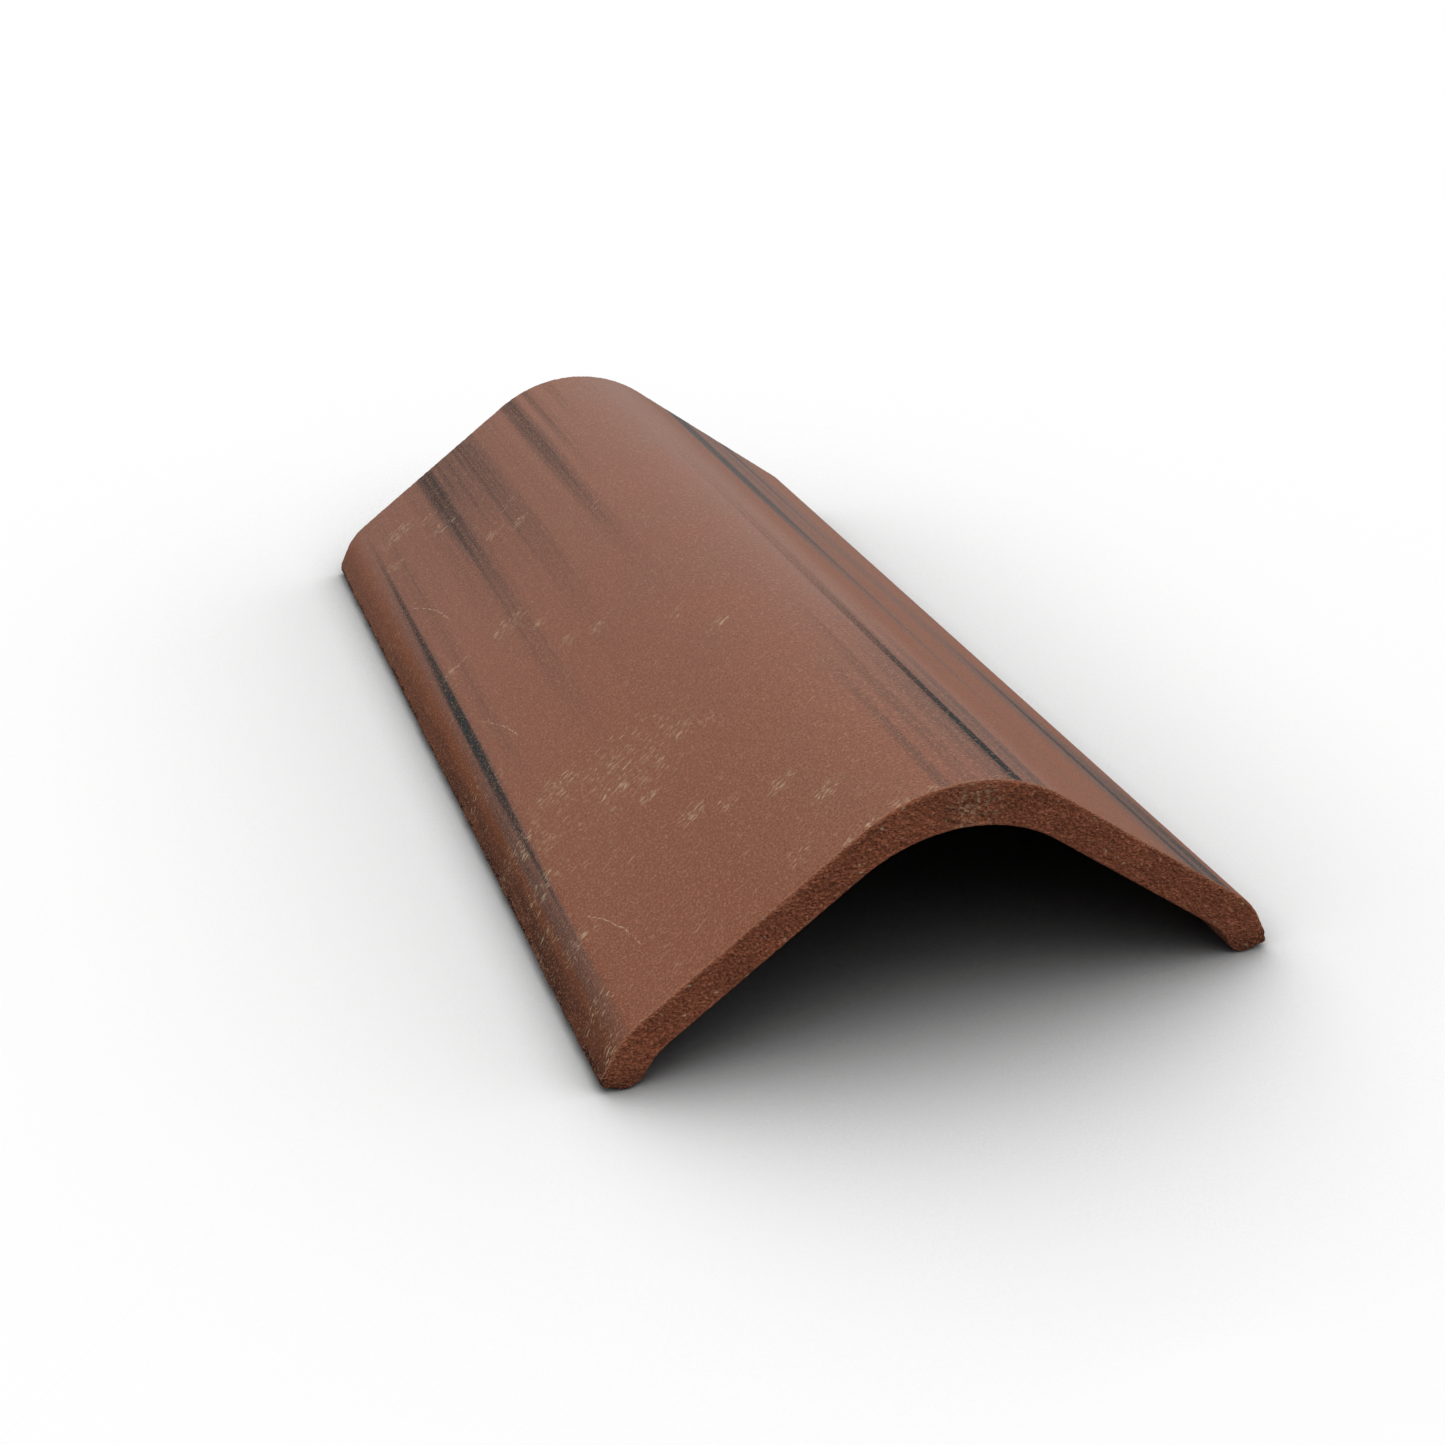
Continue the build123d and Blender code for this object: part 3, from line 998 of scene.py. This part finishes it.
def tile_material():
    """Through-coloured concrete with a smooth streaked skin and a torn body."""
    material = bpy.data.materials.new("tile_concrete")
    material.use_nodes = True
    n = Nodes(material.node_tree)
    place = n.add("ShaderNodeTexCoord").outputs["Object"]
    y = n.add("ShaderNodeSeparateXYZ", {0: place}).outputs["Y"]
    along = n.math("SUBTRACT", y, NEAR_END)
    around = n.add("ShaderNodeAttribute", attribute_name="around").outputs["Fac"]
    skin_value = n.add("ShaderNodeAttribute", attribute_name="skin").outputs["Fac"]
    face = n.add("ShaderNodeCombineXYZ", {"X": around, "Y": along}).outputs[0]

    grain = n.noise(face, *GRAIN)
    upper, dull = skin_colour(n, face, around, along, grain)
    body, ripples = body_colour(n, place, around)
    ragged = n.math("MULTIPLY", n.math("SUBTRACT", ripples, 0.5), EDGE_RAGGED)
    edge = n.math("ADD", skin_value, ragged)
    skin = n.ramp(edge, *EDGE_SKIN)
    # The edge's pale middle is partly wear, partly a painted highlight
    worn_and_lit = n.math("MULTIPLY", n.ramp(edge, *EDGE_PALE_START), n.ramp(edge, *EDGE_PALE_END))
    colour = n.mix(worn_and_lit, n.mix(skin, body, upper), WORN_EDGE_AND_HIGHLIGHT)

    # Relief too fine for the mesh
    skin_height = n.math("MULTIPLY", n.noise(face, *SKIN_BUMP), SKIN_BUMP_HEIGHT)
    height = n.blend(skin, n.math("MULTIPLY", ripples, RIPPLE_HEIGHT), skin_height)
    inputs = {"Height": height, "Strength": 1.0, "Distance": 1.0}
    bump = n.add("ShaderNodeBump", inputs).outputs[0]

    right = n.ramp(along, *RIGHT_WING_ROUGHNESS)
    left = n.ramp(grain, *SKIN_ROUGHNESS)
    sheen = n.blend(n.ramp(around, *NOT_RIGHT_WING), right, left)
    rough = n.blend(skin, BODY_ROUGHNESS, n.blend(dull, sheen, DULL_ROUGHNESS))
    inputs = {
        "Base Color": colour,
        "Roughness": rough,
        "Specular IOR Level": SPECULAR_LEVEL,
        "Normal": bump,
    }
    shader = n.add("ShaderNodeBsdfPrincipled", inputs)
    out = n.add("ShaderNodeOutputMaterial")
    n.put(out.inputs["Surface"], shader.outputs[0])
    return material


def make_floor():
    """A white floor that keeps the shadow, has more shadow painted into its colour near the tile, and
    throws little light back on to the tile.
    """
    signs = ((-1, -1), (1, -1), (1, 1), (-1, 1))
    corners = [(x * FLOOR_HALF, y * FLOOR_HALF, 0.0) for x, y in signs]
    data = bpy.data.meshes.new("floor")
    data.from_pydata(corners, [], [(0, 1, 2, 3)])
    floor = bpy.data.objects.new("floor", data)
    bpy.context.scene.collection.objects.link(floor)
    material = bpy.data.materials.new("floor_white")
    material.use_nodes = True
    n = Nodes(material.node_tree)
    ray = n.add("ShaderNodeLightPath").outputs
    inputs = {"Distance": CONTACT_SHADOW_REACH}
    open_sky = n.add("ShaderNodeAmbientOcclusion", inputs, samples=CONTACT_SHADOW_SAMPLES).outputs["AO"]
    seen = n.math("MAXIMUM", ray["Is Camera Ray"], ray["Is Glossy Ray"])
    seen = n.math("MAXIMUM", seen, ray["Is Transmission Ray"])
    # Painted shadow: the floor's colour darkens where the tile hides the sky nearby
    shade = n.math("MULTIPLY", n.math("POWER", open_sky, CONTACT_SHADOW_POWER), CONTACT_SHADOW_GAIN, clamp=True)
    white = n.add("ShaderNodeBsdfDiffuse", {"Color": shade})
    bounce = (FLOOR_BOUNCE, FLOOR_BOUNCE, FLOOR_BOUNCE, 1.0)
    grey = n.add("ShaderNodeBsdfDiffuse", {"Color": bounce})
    mixed = n.add("ShaderNodeMixShader", {0: seen, 1: grey.outputs[0], 2: white.outputs[0]})
    out = n.add("ShaderNodeOutputMaterial")
    n.put(out.inputs["Surface"], mixed.outputs[0])
    data.materials.append(material)


def make_light():
    """Even white light from the whole sky, as in a light tent."""
    world = bpy.data.worlds.new("studio")
    world.use_nodes = True
    n = Nodes(world.node_tree)
    sky = n.add("ShaderNodeBackground", {"Color": (1.0, 1.0, 1.0, 1.0), "Strength": 1.0})
    out = n.add("ShaderNodeOutputWorld")
    n.put(out.inputs["Surface"], sky.outputs[0])
    bpy.context.scene.world = world


def make_camera():
    """The camera at the photograph's place, level and looking down at the tile."""
    data = bpy.data.cameras.new("camera")
    data.lens = CAMERA_LENS
    data.sensor_width = CAMERA_SENSOR
    data.clip_end = CAMERA_REACH
    camera = bpy.data.objects.new("camera", data)
    camera.location = CAMERA_PLACE
    camera.rotation_euler = (math.pi / 2 + CAMERA_PITCH, 0.0, -CAMERA_YAW)
    bpy.context.scene.collection.objects.link(camera)
    bpy.context.scene.camera = camera


bpy.context.scene.view_settings.view_transform = "Standard"
make_camera()
make_light()
make_floor()
tile = make_tile()
tile.data.materials.append(tile_material())
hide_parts("ridge_tile")
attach(tile, "root")
